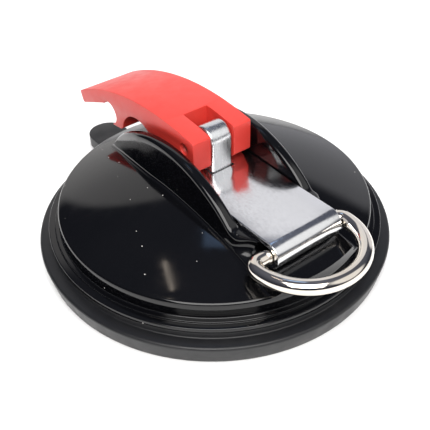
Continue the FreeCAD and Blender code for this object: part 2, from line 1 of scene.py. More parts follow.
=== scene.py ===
"""Lever suction anchor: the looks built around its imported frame.

A rubber pad carries a glossy domed cover. A saddle on the cover holds a chromed tie plate, whose
curled end takes a lashing ring, and guides the stem that a red cam lever draws up. Sizes are in
millimetres and each piece is scaled to metres when it is finished.
"""

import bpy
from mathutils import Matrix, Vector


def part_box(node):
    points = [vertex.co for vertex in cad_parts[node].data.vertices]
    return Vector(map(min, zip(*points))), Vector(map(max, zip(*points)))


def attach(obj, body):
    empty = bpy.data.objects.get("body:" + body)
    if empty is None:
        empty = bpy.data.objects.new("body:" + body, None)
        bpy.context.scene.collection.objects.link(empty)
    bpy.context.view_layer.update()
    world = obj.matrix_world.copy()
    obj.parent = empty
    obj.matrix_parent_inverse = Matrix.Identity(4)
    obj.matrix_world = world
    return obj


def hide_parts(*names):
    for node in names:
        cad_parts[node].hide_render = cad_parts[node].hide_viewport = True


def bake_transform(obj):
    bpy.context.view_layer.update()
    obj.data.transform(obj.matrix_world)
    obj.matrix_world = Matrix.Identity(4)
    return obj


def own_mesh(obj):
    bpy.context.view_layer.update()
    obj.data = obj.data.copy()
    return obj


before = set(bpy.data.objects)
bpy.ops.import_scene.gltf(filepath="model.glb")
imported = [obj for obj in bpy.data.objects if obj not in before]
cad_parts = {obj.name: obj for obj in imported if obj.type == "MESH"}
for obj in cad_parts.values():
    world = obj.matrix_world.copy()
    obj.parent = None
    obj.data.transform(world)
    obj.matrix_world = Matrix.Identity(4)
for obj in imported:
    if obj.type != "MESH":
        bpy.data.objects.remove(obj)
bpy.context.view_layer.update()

import logging
import math
from dataclasses import dataclass
from enum import Enum
from typing import Callable, List, Optional, Sequence, Tuple

import bmesh
import bpy
from mathutils import Matrix, Vector

MM = 0.001
LOG = logging.getLogger("suction_anchor")

Pair = Tuple[float, float]
Colour = Tuple[float, float, float]
Mesh = bmesh.types.BMesh
Edge = bmesh.types.BMEdge
Point = bmesh.types.BMVert
Piece = bpy.types.Object
Material = bpy.types.Material
Socket = bpy.types.NodeSocket


# --- named options


class Plane(Enum):
    """The upright plane that an outline is drawn in."""

    SIDE = "side"
    SECTION = "section"

    def point(self, u: float, v: float) -> Vector:
        """Place a flat point in space.

        Args:
            u: Distance along Y on the side plane, or along X on the section plane.
            v: Height.

        Returns:
            The point in space.
        """
        return Vector((0.0, u, v)) if self is Plane.SIDE else Vector((u, 0.0, v))

    def axis(self) -> Vector:
        """Return the axis about which a positive angle turns u towards v."""
        return Vector((1.0, 0.0, 0.0)) if self is Plane.SIDE else Vector((0.0, -1.0, 0.0))


class Join(Enum):
    """How a tool solid changes the solid it meets."""

    ADD = "UNION"
    CUT = "DIFFERENCE"


class Turn(Enum):
    """Which side of its way an arc has its centre on."""

    LEFT = 1
    RIGHT = -1


# --- mesh building


class Outline:
    """A chain of points drawn one after another in an upright plane."""

    def __init__(self, plane: Plane, u: float, v: float) -> None:
        """Start the chain.

        Args:
            plane: The plane to draw in.
            u: First point's distance along the plane's level direction.
            v: First point's height.
        """
        self.plane = plane
        self.mesh = bmesh.new()
        self.at: Pair = (u, v)
        self.first = self.mesh.verts.new(plane.point(u, v))
        self.last = self.first

    def line(self, u: float, v: float, parts: int = 1) -> "Outline":
        """Draw a straight run.

        Args:
            u: End point's level distance.
            v: End point's height.
            parts: How many edges to divide the run into.

        Returns:
            This outline, so that calls can be chained.
        """
        step = (self.plane.point(u, v) - self.plane.point(*self.at)) / parts
        for _ in range(parts):
            made = bmesh.ops.extrude_vert_indiv(self.mesh, verts=[self.last])
            self.last = made["verts"][0]
            bmesh.ops.translate(self.mesh, verts=[self.last], vec=step)
        self.at = (u, v)
        return self

    def arc(self, u: float, v: float, radius: float, turn: Turn, steps: int = 6) -> "Outline":
        """Draw the short arc to a point.

        Args:
            u: End point's level distance.
            v: End point's height.
            radius: The arc's radius.
            turn: The side that its centre lies on.
            steps: How many edges it has.

        Returns:
            This outline, so that calls can be chained.
        """
        start, end = Vector(self.at), Vector((u, v))
        chord = end - start
        side = Vector((-chord.y, chord.x)).normalized() * turn.value
        depth = math.sqrt(max(radius * radius - chord.length_squared / 4.0, 0.0))
        centre = (start + end) / 2.0 + side * depth
        angle = 2.0 * math.asin(min(chord.length / (2.0 * radius), 1.0)) * turn.value
        made = bmesh.ops.spin(
            self.mesh, geom=[self.last], cent=self.plane.point(*centre), axis=self.plane.axis(),
            angle=angle, space=Matrix.Identity(4), steps=steps)
        self.last = next(item for item in made["geom_last"] if isinstance(item, Point))
        self.at = (u, v)
        return self

    def round(self, u: float, v: float, next_u: float, next_v: float, radius: float,
              steps: int = 4) -> "Outline":
        """Draw towards a corner and round it.

        Args:
            u: Corner's level distance.
            v: Corner's height.
            next_u: Level distance of the point after the corner.
            next_v: Height of the point after the corner.
            radius: Radius of the rounding.
            steps: How many edges the rounding has.

        Returns:
            This outline, standing at the end of the rounding.
        """
        corner = Vector((u, v))
        back = (Vector(self.at) - corner).normalized()
        ahead = (Vector((next_u, next_v)) - corner).normalized()
        half = back.angle(ahead) / 2.0
        reach = radius / math.tan(half)
        enter, leave = corner + back * reach, corner + ahead * reach
        turn = Turn.LEFT if (-back).cross(ahead) > 0 else Turn.RIGHT
        self.line(enter.x, enter.y)
        return self.arc(leave.x, leave.y, radius, turn, steps)

    def close(self) -> "Outline":
        """Join the last point to the first."""
        self.mesh.edges.new((self.last, self.first))
        return self

    def revolve(self, steps: int = 180) -> Mesh:
        """Turn the chain all round the upright axis.

        Args:
            steps: How many steps the full turn has.

        Returns:
            The turned mesh.
        """
        bm = self.mesh
        bmesh.ops.spin(bm, geom=bm.verts[:] + bm.edges[:], cent=Vector(), axis=Vector((0, 0, 1)),
                       angle=math.tau, space=Matrix.Identity(4), steps=steps, use_merge=True)
        return tidy(bm)

    def slab(self, width: float) -> Mesh:
        """Fill the closed chain and thicken it evenly to both sides of its plane.

        Args:
            width: The slab's whole width.

        Returns:
            The slab's mesh.
        """
        bm = self.mesh
        across = self.plane.axis().to_track_quat("Z", "Y") @ Vector((0, 0, 1))
        bmesh.ops.edgeloop_fill(bm, edges=bm.edges[:])
        bmesh.ops.translate(bm, verts=bm.verts[:], vec=across * (-width / 2.0))
        made = bmesh.ops.extrude_face_region(bm, geom=bm.faces[:])
        moved = [item for item in made["geom"] if isinstance(item, Point)]
        bmesh.ops.translate(bm, verts=moved, vec=across * width)
        return tidy(bm)


def tidy(bm: Mesh, gap: float = 0.004) -> Mesh:
    """Merge doubled points, drop empty faces and turn every face outwards.

    Args:
        bm: The mesh to tidy.
        gap: Points closer than this are merged.

    Returns:
        The same mesh.
    """
    bmesh.ops.remove_doubles(bm, verts=bm.verts[:], dist=gap)
    bmesh.ops.dissolve_degenerate(bm, edges=bm.edges[:], dist=gap / 4.0)
    bmesh.ops.recalc_face_normals(bm, faces=bm.faces[:])
    return bm


def block(low: Sequence[float], high: Sequence[float]) -> Mesh:
    """Make a box between two corners.

    Args:
        low: Lowest corner.
        high: Highest corner.

    Returns:
        The box's mesh.
    """
    bm = bmesh.new()
    bmesh.ops.create_cube(bm, size=1.0)
    size = [b - a for a, b in zip(low, high)]
    bmesh.ops.scale(bm, verts=bm.verts[:], vec=size)
    bmesh.ops.translate(bm, verts=bm.verts[:], vec=[(a + b) / 2.0 for a, b in zip(low, high)])
    return bm


def rod(radius: float, length: float, centre: Sequence[float], along: str = "Z",
        segments: int = 48) -> Mesh:
    """Make a round bar about its middle.

    Args:
        radius: The bar's radius.
        length: The bar's length.
        centre: The middle of the bar.
        along: The axis that it lies along, X or Z.
        segments: How many sides it has.

    Returns:
        The bar's mesh.
    """
    bm = bmesh.new()
    bmesh.ops.create_cone(bm, cap_ends=True, segments=segments, radius1=radius, radius2=radius,
                          depth=length)
    if along == "X":
        turn = Matrix.Rotation(math.pi / 2.0, 3, "Y")
        bmesh.ops.rotate(bm, verts=bm.verts[:], cent=Vector(), matrix=turn)
    bmesh.ops.translate(bm, verts=bm.verts[:], vec=centre)
    return bm


def soften(bm: Mesh, width: float, segments: int = 2, angle: float = 35.0) -> None:
    """Round every edge sharper than an angle.

    Args:
        bm: The mesh to soften.
        width: How far the rounding reaches from the edge.
        segments: How many faces the rounding has.
        angle: Edges flatter than this many degrees stay.
    """
    sharp = [edge for edge in bm.edges
             if len(edge.link_faces) == 2 and math.degrees(edge.calc_face_angle(0.0)) > angle]
    bmesh.ops.bevel(bm, geom=sharp, offset=width, offset_type="OFFSET", segments=segments,
                    profile=0.5, affect="EDGES", material=-1, clamp_overlap=True)


def as_object(name: str, bm: Mesh, scale: float = 1.0) -> Piece:
    """Turn a mesh under construction into an object of the scene.

    Args:
        name: The object's name.
        bm: The mesh, which is used up.
        scale: A factor for its size.

    Returns:
        The new object.
    """
    if scale != 1.0:
        bmesh.ops.scale(bm, verts=bm.verts[:], vec=(scale, scale, scale))
    mesh = bpy.data.meshes.new(name)
    bm.to_mesh(mesh)
    bm.free()
    made = bpy.data.objects.new(name, mesh)
    bpy.context.scene.collection.objects.link(made)
    return made


def combine(base: Mesh, *tools: Tuple[Join, Mesh]) -> Mesh:
    """Add solids to a solid, or cut them from it, one after another.

    Args:
        base: The solid to start from.
        tools: How each further solid is used, and its mesh.

    Returns:
        The resulting solid.
    """
    target = as_object("forming", base)
    spent = []
    for how, tool in tools:
        helper = as_object("forming_tool", tool)
        spent.append(helper)
        modifier = target.modifiers.new("join", "BOOLEAN")
        modifier.operation = how.value
        modifier.solver = "EXACT"
        modifier.object = helper
    graph = bpy.context.evaluated_depsgraph_get()
    shaped = bpy.data.meshes.new_from_object(target.evaluated_get(graph))
    result = bmesh.new()
    result.from_mesh(shaped)
    bpy.data.meshes.remove(shaped)
    for item in [target] + spent:
        mesh = item.data
        bpy.data.objects.remove(item)
        bpy.data.meshes.remove(mesh)
    return tidy(result)


# --- materials


class Shader:
    """Builds one material's nodes on object coordinates."""

    def __init__(self, name: str) -> None:
        """Start a material with one principled surface.

        Args:
            name: The material's name.
        """
        self.material = bpy.data.materials.new(name)
        self.material.use_nodes = True
        self.tree = self.material.node_tree
        self.surface = self.tree.nodes["Principled BSDF"]
        self.place = self.tree.nodes.new("ShaderNodeTexCoord").outputs["Object"]

    def node(self, kind: str, **settings: object) -> bpy.types.Node:
        """Add a node and set its properties.

        Args:
            kind: The node's type.
            settings: Its properties and their values.

        Returns:
            The new node.
        """
        made = self.tree.nodes.new(kind)
        for key, value in settings.items():
            setattr(made, key, value)
        return made

    def link(self, source: Socket, target: Socket) -> None:
        """Join an output to an input."""
        self.tree.links.new(source, target)

    def set(self, **values: object) -> None:
        """Set constants on the surface's own sockets.

        Args:
            values: Socket names, with _ for a space, and their values.
        """
        for key, value in values.items():
            self.surface.inputs[key.replace("_", " ")].default_value = value

    def stretched(self, stretch: Sequence[float]) -> Socket:
        """Scale the coordinates along each axis.

        Args:
            stretch: The factor along each axis.

        Returns:
            The socket of the scaled coordinates.
        """
        mapping = self.node("ShaderNodeMapping")
        mapping.inputs["Scale"].default_value = stretch
        self.link(self.place, mapping.inputs["Vector"])
        return mapping.outputs["Vector"]

    def noise(self, scale: float, detail: float = 3.0, stretch: Sequence[float] = (1, 1, 1),
              roughness: float = 0.55) -> Socket:
        """Add a noise and return its value.

        Args:
            scale: Lumps per metre.
            detail: How many finer octaves it has.
            stretch: Factors along each axis.
            roughness: How strong the finer octaves are.

        Returns:
            The socket of its value.
        """
        made = self.node("ShaderNodeTexNoise")
        made.inputs["Scale"].default_value = scale
        made.inputs["Detail"].default_value = detail
        made.inputs["Roughness"].default_value = roughness
        self.link(self.stretched(stretch), made.inputs["Vector"])
        return made.outputs["Fac"]

    def specks(self, scale: float, size: float) -> Socket:
        """Add scattered round specks.

        Args:
            scale: Specks per metre.
            size: Their radius as a share of their spacing.

        Returns:
            A socket that is 1 on a speck and 0 elsewhere.
        """
        cells = self.node("ShaderNodeTexVoronoi", feature="F1")
        cells.inputs["Scale"].default_value = scale
        self.link(self.place, cells.inputs["Vector"])
        return self.span(cells.outputs["Distance"], size, size * 0.6, 0.0, 1.0)

    def span(self, value: Socket, low: float, high: float, out_low: float,
             out_high: float) -> Socket:
        """Map a range of values to another and hold it there.

        Args:
            value: The socket to map.
            low: Value that gives out_low.
            high: Value that gives out_high.
            out_low: First end of the result.
            out_high: Second end of the result.

        Returns:
            The socket of the result.
        """
        made = self.node("ShaderNodeMapRange", clamp=True)
        for key, number in (("From Min", low), ("From Max", high), ("To Min", out_low),
                            ("To Max", out_high)):
            made.inputs[key].default_value = number
        self.link(value, made.inputs["Value"])
        return made.outputs["Result"]

    def mix(self, factor: Socket, first: object, second: Colour) -> Socket:
        """Mix two colours.

        Args:
            factor: The second colour's share.
            first: The first colour, or the socket of one.
            second: The second colour.

        Returns:
            The socket of the mixed colour.
        """
        made = self.node("ShaderNodeMix", data_type="RGBA")
        self.link(factor, made.inputs["Factor"])
        if isinstance(first, Socket):
            self.link(first, made.inputs["A"])
        else:
            made.inputs["A"].default_value = (*first, 1.0)
        made.inputs["B"].default_value = (*second, 1.0)
        return made.outputs["Result"]

    def bump(self, height: Socket, depth: float, strength: float = 1.0,
             over: Optional[Socket] = None) -> Socket:
        """Turn a height into a normal.

        Args:
            height: The socket of the height.
            depth: How deep a height of 1 is, in millimetres.
            strength: How strongly it shows.
            over: A normal that this one is laid over.

        Returns:
            The socket of the normal.
        """
        made = self.node("ShaderNodeBump")
        made.inputs["Distance"].default_value = depth * MM
        made.inputs["Strength"].default_value = strength
        self.link(height, made.inputs["Height"])
        if over is not None:
            self.link(over, made.inputs["Normal"])
        return made.outputs["Normal"]


@dataclass(frozen=True)
class Moulding:
    """Moulded plastic or rubber."""

    name: str
    colour: Colour
    shade: Colour
    rough_low: float
    rough_high: float
    grain: float
    grain_depth: float
    specular: float = 0.5
    dust: Colour = (0.35, 0.33, 0.3)
    dust_spacing: float = 7.0
    dust_size: float = 0.02
    scatter: float = 0.0

    def make(self) -> Material:
        """Build the material.

        Returns:
            The new material.
        """
        shader = Shader(self.name)
        cloud = shader.noise(45.0, 4.0)
        body = shader.mix(shader.span(cloud, 0.35, 0.65, 0.0, 1.0), self.colour, self.shade)
        specks = shader.specks(1000.0 / self.dust_spacing, self.dust_size)
        shader.link(shader.mix(specks, body, self.dust), shader.surface.inputs["Base Color"])
        wear = shader.noise(240.0, 5.0)
        rough = shader.span(wear, 0.3, 0.7, self.rough_low, self.rough_high)
        shader.link(rough, shader.surface.inputs["Roughness"])
        fine = shader.bump(shader.noise(self.grain, 3.0), self.grain_depth)
        shader.link(shader.bump(specks, 0.04, 0.5, fine), shader.surface.inputs["Normal"])
        shader.set(Specular_IOR_Level=self.specular, Subsurface_Weight=self.scatter,
                   Subsurface_Scale=0.002)
        return shader.material


@dataclass(frozen=True)
class Metal:
    """Plated, brushed or bare metal."""

    name: str
    colour: Colour
    shade: Colour
    rough_low: float
    rough_high: float
    stretch: Tuple[float, float, float] = (1.0, 1.0, 1.0)
    line_scale: float = 900.0
    line_depth: float = 0.004
    wave_scale: float = 60.0
    wave_depth: float = 0.02

    def make(self) -> Material:
        """Build the material.

        Returns:
            The new material.
        """
        shader = Shader(self.name)
        cloud = shader.noise(70.0, 4.0)
        tone = shader.mix(shader.span(cloud, 0.35, 0.7, 0.0, 1.0), self.colour, self.shade)
        shader.link(tone, shader.surface.inputs["Base Color"])
        lines = shader.noise(self.line_scale, 4.0, self.stretch)
        rough = shader.span(lines, 0.3, 0.75, self.rough_low, self.rough_high)
        shader.link(rough, shader.surface.inputs["Roughness"])
        waves = shader.bump(shader.noise(self.wave_scale, 1.0), self.wave_depth)
        scored = shader.bump(lines, self.line_depth, 1.0, waves)
        shader.link(scored, shader.surface.inputs["Normal"])
        shader.set(Metallic=1.0)
        return shader.material


BLACK_GLOSS = Moulding("cover_gloss_black", (0.0016, 0.0017, 0.0022), (0.0024, 0.0024, 0.003),
                       0.06, 0.12, 900.0, 0.0010, dust=(0.6, 0.58, 0.55), dust_spacing=5.0,
                       dust_size=0.045)
RUBBER = Moulding("pad_rubber_black", (0.006, 0.0062, 0.0075), (0.009, 0.0092, 0.0105),
                  0.34, 0.48, 1400.0, 0.010, dust=(0.2, 0.19, 0.18), dust_spacing=6.0,
                  dust_size=0.018)
SIGNAL_RED = Moulding("lever_signal_red", (0.66, 0.046, 0.034), (0.63, 0.040, 0.030),
                      0.34, 0.46, 1300.0, 0.008, dust=(0.85, 0.3, 0.26), dust_spacing=9.0,
                      dust_size=0.012, scatter=0.06)
NYLON = Moulding("guide_nylon_ivory", (0.62, 0.6, 0.54), (0.56, 0.54, 0.48), 0.4, 0.55, 900.0,
                 0.008, dust=(0.3, 0.28, 0.25))
PLATE_CHROME = Metal("tie_plate_chrome", (0.84, 0.84, 0.85), (0.79, 0.79, 0.8), 0.11, 0.26,
                     (1.0, 0.5, 1.0), 1500.0, 0.0022, 55.0, 0.05)
STEM_CHROME = Metal("stem_chrome", (0.82, 0.83, 0.84), (0.76, 0.77, 0.79), 0.2, 0.38,
                    (1.0, 1.0, 0.08), 1300.0, 0.004, 90.0, 0.03)
NICKEL = Metal("ring_nickel", (0.84, 0.79, 0.72), (0.76, 0.69, 0.6), 0.05, 0.14,
               (1.0, 1.0, 1.0), 700.0, 0.003, 120.0, 0.03)
BARE_STEEL = Metal("bare_steel", (0.55, 0.55, 0.54), (0.45, 0.45, 0.44), 0.22, 0.4,
                   (1.0, 1.0, 1.0), 1100.0, 0.006)
SPRING_STEEL = Metal("spring_steel", (0.42, 0.41, 0.4), (0.33, 0.32, 0.31), 0.25, 0.42,
                     (1.0, 1.0, 1.0), 1100.0, 0.006)


# --- finished pieces


@dataclass(frozen=True)
class Dress:
    """What a finished piece is made of and what it moves with."""

    material: Material
    slot: str
    body: str
    nodes: Tuple[str, ...] = ()


def finish_piece(name: str, bm: Mesh, dress: Dress, crease: float = 32.0,
                 settle: Optional[Callable[[Piece], None]] = None) -> Piece:
    """Scale a mesh to metres, shade it and fix it to its body.

    Args:
        name: The piece's name.
        bm: Its mesh in millimetres.
        dress: Its material, body and the frame nodes that it stands for, and a slot name that is not
            used.
        crease: Edges sharper than this many degrees stay sharp.
        settle: Fixes the piece to the frame in place of a plain ride.

    Returns:
        The finished piece.
    """
    piece = as_object(name, bm, MM)
    mesh = piece.data
    mesh.polygons.foreach_set("use_smooth", [True] * len(mesh.polygons))
    mesh.set_sharp_from_angle(angle=math.radians(crease))
    mesh.materials.append(dress.material)
    if settle is None:
        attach(piece, dress.body)
    else:
        settle(piece)
    if dress.nodes:
        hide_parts(*dress.nodes)
    LOG.info("%-18s %6d faces on %s", name, len(mesh.polygons), dress.body)
    return piece


@dataclass
class Places:
    """Where the frame has its pieces, in millimetres."""

    pin_z: float = 0.0
    pin_reach: float = 0.0
    plate_top: float = 0.0
    plate_back: float = 0.0
    plate_half: float = 0.0
    curl_outer: float = 0.0
    curl_y: float = 0.0
    curl_z: float = 0.0
    floor: float = 0.0
    spring_low: float = 0.0
    spring_high: float = 0.0

    def read(self) -> "Places":
        """Read the places from the frame's nodes.

        Returns:
            These places.
        """
        pin_low, pin_high = self.corners("lever_pin")
        self.pin_z = (pin_low.z + pin_high.z) / 2.0
        self.pin_reach = pin_high.x
        plate_low, plate_high = self.corners("tie_plate")
        self.plate_half, self.plate_back, self.plate_top = plate_high
        self.floor = self.corners("stem_guide")[1].z
        self.curl_outer = (plate_high.z - plate_low.z) / 2.0
        self.curl_y = plate_low.y + self.curl_outer
        self.curl_z = plate_high.z - self.curl_outer
        spring_low, spring_high = self.corners("return_spring")
        self.spring_low, self.spring_high = spring_low.z, spring_high.z
        return self

    @staticmethod
    def corners(node: str) -> Tuple[Vector, Vector]:
        """Return a node's lowest and highest corners in millimetres."""
        low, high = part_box(node)
        return low / MM, high / MM


# --- rubber pad


@dataclass
class SuctionPad:
    """The rubber pad: a stiff rim with a pull tab, and a web that rides on the base."""

    seam: float = 46.6
    rim: float = 60.0
    foot: float = 58.6
    rim_height: float = 7.0
    ledge: float = 55.7
    land: float = 9.8
    hollow: float = 4.2
    hollow_flat: float = 14.0
    seal: float = 48.0
    tab_half: float = 7.5
    tab_end: float = 79.0
    tab_low: float = 1.2
    tab_thick: float = 4.3
    boss: float = 15.0
    boss_top: float = 16.5
    well: float = 6.7
    disc_room: float = 13.1
    disc_low: float = 10.4
    disc_high: float = 12.6
    nut_room: float = 7.6
    nut_low: float = 6.9
    tail_room: float = 4.1
    tail_low: float = 6.7
    stem_drop: float = 3.0

    def rim_mesh(self) -> Mesh:
        """Build the rim with its sealing land and the pull tab.

        Returns:
            The rim's mesh.
        """
        line = Outline(Plane.SECTION, self.seam, 0.16)
        line.line(self.seal, 0.0).line(57.2, 0.0, 3)
        line.round(self.foot, 0.0, self.rim, self.rim_height, 0.6)
        line.round(self.rim, self.rim_height, self.ledge, self.rim_height + 0.15, 0.9, 5)
        line.line(self.ledge + 0.5, self.rim_height + 0.15)
        line.arc(self.ledge, self.rim_height + 0.65, 0.5, Turn.RIGHT, 4)
        line.round(self.ledge - 0.4, self.land, 50.0, self.land, 0.3)
        line.line(self.seam, self.land).close()
        return combine(line.revolve(216), (Join.ADD, self.tab_mesh()))

    def tab_mesh(self) -> Mesh:
        """Build the pull tab as a tongue with a round end and soft edges.

        Returns:
            The tab's mesh.
        """
        tongue = block((-self.tab_half, 57.0, self.tab_low),
                       (self.tab_half, self.tab_end - self.tab_half, self.tab_low + self.tab_thick))
        tip = rod(self.tab_half, self.tab_thick,
                  (0.0, self.tab_end - self.tab_half, self.tab_low + self.tab_thick / 2.0))
        bm = combine(tongue, (Join.ADD, tip))
        soften(bm, 0.9, 3)
        return bm

    def web_mesh(self) -> Mesh:
        """Build the web and boss, hollow where the anchor is moulded in.

        Returns:
            The web's mesh.
        """
        line = Outline(Plane.SECTION, 0.0, self.hollow)
        line.line(self.hollow_flat - 1.0, self.hollow, 3)
        line.round(self.hollow_flat, self.hollow, self.seal, 0.0, 6.0, 5)
        line.line(self.seam, 0.16, 8).line(self.seam, self.land, 2)
        line.line(46.0, self.land).round(42.0, 8.0, self.boss + 1.0, 9.0, 1.5)
        line.round(self.boss + 1.0, 9.0, self.boss, self.boss_top, 1.5)
        line.line(self.boss, self.boss_top).line(self.well, self.boss_top)
        line.line(self.well, self.disc_high).line(self.disc_room, self.disc_high)
        line.line(self.disc_room, self.disc_low).line(self.nut_room, self.disc_low)
        line.line(self.nut_room, self.nut_low).line(self.tail_room, self.nut_low)
        line.line(self.tail_room, self.tail_low).line(0.0, self.tail_low)
        return line.revolve(144)

    def build(self, rubber: Material) -> None:
        """Build and dress both parts of the pad.

        Args:
            rubber: The pad's material.
        """
        dress = Dress(rubber, "pad_rubber", "base", ("suction_pad",))
        finish_piece("suction_pad_rim", self.rim_mesh(), dress)

        def flatten(piece: Piece) -> None:
            """Fix the web to the base and give it a mesh of its own."""
            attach(piece, "base")
            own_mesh(piece)

        finish_piece("suction_pad_web", self.web_mesh(), dress, settle=flatten)


# --- cover


@dataclass
class Cover:
    """The domed cover with its saddle, ridges and prow, hollow underneath."""

    places: Places
    apex: float = 27.4
    rim_z: float = 17.3
    wall: float = 52.4
    flange: float = 56.2
    flange_top: float = 11.3
    ledge: float = 54.0
    ledge_top: float = 11.9
    foot_z: float = 9.8
    inner_wall: float = 50.0
    shell: float = 2.5
    channel: float = 13.1
    crown_y: float = 3.0
    crown_z: float = -6.5
    crown: float = 47.0
    ridge_outer: float = 17.0
    prow_outer: float = 13.3
    foot_half: float = 18.5
    foot_half_back: float = 15.0
    back: float = 41.4
    back_floor: float = 25.3
    back_rise: float = 0.5
    lip_y: float = -41.6
    lip_z: float = 21.4
    lip_fall: float = 1.6
    lip_outer: float = 14.2
    trough: float = 4.85
    fillet: float = 0.9
    saddle_low: float = 13.0
    screw_x: float = 7.5
    screw_y: float = 18.0
    screw_boss: float = 3.8
    window_x: float = 6.1
    window_y: float = 6.9
    roof: float = 2.6
    core_half: float = 11.3
    core_front: float = -34.0
    core_back: float = 21.0
    rib_low: float = 12.5
    rib_half: float = 0.9
    rib_reach: float = 52.0
    hub: float = 17.0
    hub_height: float = 6.1
    tube: float = 13.6
    tube_bore: float = 11.6

    @property
    def sphere(self) -> float:
        """Radius of the dome's outer surface."""
        rise = self.apex - self.rim_z
        return (self.wall ** 2 + rise ** 2) / (2.0 * rise)

    def dome(self, x: float, y: float) -> float:
        """Return the dome's height over a place."""
        return self.apex - self.sphere + math.sqrt(self.sphere ** 2 - x * x - y * y)

    def shell_mesh(self) -> Mesh:
        """Build the dome, its wall, ledge and flange as one turned solid.

        Returns:
            The solid's mesh.
        """
        line = Outline(Plane.SECTION, 0.0, self.apex)
        edge = 0.9
        line.arc(self.wall - edge, self.rim_z + 0.18, self.sphere, Turn.RIGHT, 44)
        line.arc(self.wall, self.rim_z - edge, 1.15, Turn.RIGHT, 6)
        line.line(self.wall, self.ledge_top + 0.4, 3)
        line.arc(self.wall + 0.4, self.ledge_top, 0.4, Turn.LEFT, 4)
        line.round(self.ledge, self.ledge_top, self.ledge, self.flange_top, 0.25)
        line.round(self.ledge, self.flange_top, self.flange, self.flange_top, 0.2)
        line.round(self.flange, self.flange_top, self.flange, self.foot_z, 0.35)
        line.line(self.flange, self.foot_z).line(self.inner_wall, self.foot_z)
        line.line(0.0, self.foot_z)
        return line.revolve(216)

    def smooth(self, low: float, high: float, value: float) -> float:
        """Ease from 0 to 1 as a value passes from low to high."""
        t = min(max((value - low) / (high - low), 0.0), 1.0)
        return t * t * (3.0 - 2.0 * t)

    def section(self, y: float) -> List[Pair]:
        """Give half the saddle's cross-section at one station.

        Args:
            y: The station's place along the saddle.

        Returns:
            Points from the middle out to the foot, always the same number.
        """
        floor = self.places.floor
        if y < self.lip_y:
            floor = self.lip_z - self.lip_fall * (self.lip_y - y) / (self.wall + self.lip_y)
        taper = max(0.0, (y - 10.0) / (self.back - 10.0))
        foot = self.foot_half - (self.foot_half - self.foot_half_back) * taper ** 1.5
        outer = self.prow_outer + (self.ridge_outer - self.prow_outer) * self.smooth(-37.5, -31.0, y)
        if y < self.lip_y:
            outer = self.lip_outer
        outer = min(outer, foot - self.fillet - 0.1)
        crown = self.crown_z + math.sqrt(max(self.crown ** 2 - (y - self.crown_y) ** 2, 0.0))

        def base(x: float) -> float:
            """The channel's floor, which follows the dome behind the plate."""
            return floor if y < self.back_floor else min(floor, self.dome(x, y) + self.back_rise)

        edge = min(self.channel, outer - 1.0)
        crest = max(crown, base(edge))
        rise = crest - base(edge)
        outer_round = min(1.5, (outer - edge) * 0.45, (crest - self.dome(outer, y)) * 0.4)
        outer_round = max(outer_round, 0.2)
        inner_round = min(1.3, rise * 0.6, (outer - edge - outer_round) * 0.9)
        points = [(edge * part, base(edge * part)) for part in (0.0, 0.25, 0.5, 0.75, 1.0)]
        wall_top = crest - inner_round
        points += [(edge, base(edge) + (wall_top - base(edge)) * part)
                   for part in (0.33, 0.66, 1.0)]
        for step in (1, 2, 3, 4):
            angle = math.radians(22.5 * step)
            points.append((edge + inner_round * (1.0 - math.cos(angle)),
                           wall_top + inner_round * math.sin(angle)))
        for step in range(6):
            angle = math.radians(18.0 * step)
            points.append((outer - outer_round * (1.0 - math.sin(angle)),
                           crest - outer_round * (1.0 - math.cos(angle))))
        start = (outer, crest - outer_round)
        end = (foot - self.fillet, self.dome(foot - self.fillet, y) + self.fillet)
        bend = 2.2 + 1.3 * (1.0 - self.smooth(-40.0, -28.0, y))
        for step in range(1, 13):
            part = step / 12.0
            points.append((start[0] + (end[0] - start[0]) * part ** bend,
                           start[1] + (end[1] - start[1]) * part))
        for step in range(1, 6):
            angle = math.radians(18.0 * step)
            x = foot - self.fillet * math.cos(angle)
            points.append((x, self.dome(x, y) + self.fillet * (1.0 - math.sin(angle))))
        points.append((foot + 0.5, self.dome(foot + 0.5, y) - 0.5))
        return points

    def stations(self) -> List[float]:
        """List the places along the saddle, closer together at its steps.

        Returns:
            The places, front first.
        """
        front = [-self.wall + (self.wall + self.lip_y) * part / 6.0 for part in range(6)]
        places = front + [self.lip_y - 0.01, self.lip_y + 0.01]
        places += [-46.0 + 1.0 * step for step in range(72)]
        places += [self.back_floor - 0.01, self.back_floor + 0.01]
        places += [26.0 + 0.7 * step for step in range(22)] + [self.back]
        return sorted(places)

    def saddle_mesh(self) -> Mesh:
        """Build the saddle as a closed solid that dips into the dome.

        Returns:
            The saddle's mesh.
        """
        stations = self.stations()
        half = len(self.section(0.0))
        across = 2 * half - 1
        bm = bmesh.new()
        bmesh.ops.create_grid(bm, x_segments=across - 1, y_segments=len(stations) - 1, size=1.0)
        bm.verts.ensure_lookup_table()
        ordered = sorted(bm.verts, key=lambda vert: (round(vert.co.y, 6), round(vert.co.x, 6)))
        for row, y in enumerate(stations):
            section = self.section(y)
            for column in range(across):
                index = column - (half - 1)
                x, z = section[abs(index)]
                x = math.copysign(x, index) if index else 0.0
                vert = ordered[row * across + column]
                vert.co = Vector((x, self.pulled(x, y), z))
        rim = [edge for edge in bm.edges if edge.is_boundary]
        made = bmesh.ops.extrude_edge_only(bm, edges=rim)
        low = [item for item in made["geom"] if isinstance(item, Point)]
        for vert in low:
            vert.co.z = self.saddle_low
        bottom = [edge for edge in bm.edges if edge.is_boundary]
        bmesh.ops.edgeloop_fill(bm, edges=bottom)
        return tidy(bm)

